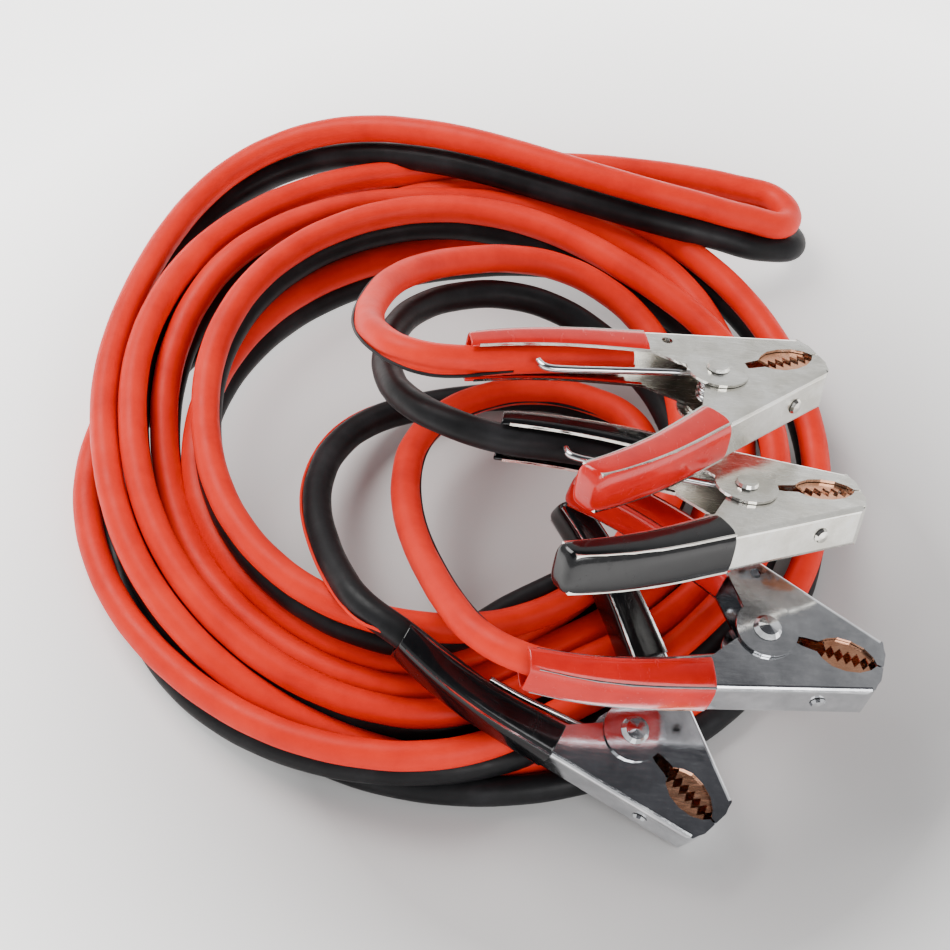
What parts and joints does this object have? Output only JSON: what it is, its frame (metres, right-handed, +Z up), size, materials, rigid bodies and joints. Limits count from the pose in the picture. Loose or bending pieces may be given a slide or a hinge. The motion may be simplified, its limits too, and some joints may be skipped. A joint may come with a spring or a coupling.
{
  "type": "car jumper cable",
  "caption": "Coiled twin red and black booster cable with split ends and spring clamps with copper jaws at the leads.",
  "frame": {"origin": "on the floor, below the middle of the four clamps", "axes": "+Z up, +X toward the clamps' noses (to the right in the picture), +Y away from the viewer"},
  "size_m": [0.3556, 0.3914, 0.1642],
  "materials": {
    "plated_steel": "bright plated",
    "copper": "copper plated",
    "spring_wire": "plated wire",
    "rivet_steel": "satin",
    "red_vinyl": "gloss",
    "black_vinyl": "gloss",
    "red_cable": "satin",
    "black_cable": "satin"
  },
  "bodies": {
    "cable_set": {"clamp1_cable_stamping": "plated_steel", "clamp1_cable_jaw": "copper", "clamp1_cable_rivet": "rivet_steel", "clamp1_cable_grip": "red_vinyl", "clamp1_spring": "spring_wire", "clamp1_pivot": "rivet_steel", "clamp2_cable_stamping": "plated_steel", "clamp2_cable_jaw": "copper", "clamp2_cable_rivet": "rivet_steel", "clamp2_cable_grip": "black_vinyl", "clamp2_spring": "spring_wire", "clamp2_pivot": "rivet_steel", "clamp3_cable_stamping": "plated_steel", "clamp3_cable_jaw": "copper", "clamp3_cable_rivet": "rivet_steel", "clamp3_cable_grip": "red_vinyl", "clamp3_spring": "spring_wire", "clamp3_pivot": "rivet_steel", "clamp4_cable_stamping": "plated_steel", "clamp4_cable_jaw": "copper", "clamp4_cable_rivet": "rivet_steel", "clamp4_cable_grip": "black_vinyl", "clamp4_spring": "spring_wire", "clamp4_pivot": "rivet_steel", "cable_lead_1": "red_cable", "cable_lead_2": "black_cable", "cable_lead_3": "red_cable", "cable_lead_4": "black_cable", "cable_coil": "red_cable", "cable_hairpin_red": "red_cable", "cable_hairpin_black": "black_cable"},
    "clamp1_moving_jaw": {"clamp1_moving_stamping": "plated_steel", "clamp1_moving_jaw": "copper", "clamp1_moving_rivet": "rivet_steel", "clamp1_moving_grip": "red_vinyl", "clamp1_spring_leg": "spring_wire"},
    "clamp2_moving_jaw": {"clamp2_moving_stamping": "plated_steel", "clamp2_moving_jaw": "copper", "clamp2_moving_rivet": "rivet_steel", "clamp2_moving_grip": "black_vinyl", "clamp2_spring_leg": "spring_wire"},
    "clamp3_moving_jaw": {"clamp3_moving_stamping": "plated_steel", "clamp3_moving_jaw": "copper", "clamp3_moving_rivet": "rivet_steel", "clamp3_moving_grip": "red_vinyl", "clamp3_spring_leg": "spring_wire"},
    "clamp4_moving_jaw": {"clamp4_moving_stamping": "plated_steel", "clamp4_moving_jaw": "copper", "clamp4_moving_rivet": "rivet_steel", "clamp4_moving_grip": "black_vinyl", "clamp4_spring_leg": "spring_wire"}
  },
  "joints": [
    {"name": "clamp1_pivot_hinge", "type": "hinge", "parent": "cable_set", "child": "clamp1_moving_jaw", "pos_m": [0.03264, 0.06417, 0.114], "axis": [-0.1642, -0.3544, -0.9205], "range_deg": [0, 28], "stiffness_Nm_per_rad": 3, "springref_deg": -40.11},
    {"name": "clamp2_pivot_hinge", "type": "hinge", "parent": "cable_set", "child": "clamp2_moving_jaw", "pos_m": [0.04244, 0.01157, 0.1047], "axis": [-0.1845, -0.4034, -0.8962], "range_deg": [0, 28], "stiffness_Nm_per_rad": 3, "springref_deg": -40.11},
    {"name": "clamp3_pivot_hinge", "type": "hinge", "parent": "cable_set", "child": "clamp3_moving_jaw", "pos_m": [0.05124, -0.02923, 0.0643], "axis": [0.2292, 0.0089, 0.9733], "range_deg": [0, 28], "stiffness_Nm_per_rad": 3, "springref_deg": -40.11},
    {"name": "clamp4_pivot_hinge", "type": "hinge", "parent": "cable_set", "child": "clamp4_moving_jaw", "pos_m": [-0.00286, -0.05363, 0.02723], "axis": [0.2525, -0.2543, 0.9336], "range_deg": [0, 28], "stiffness_Nm_per_rad": 3, "springref_deg": -40.11}
  ]
}
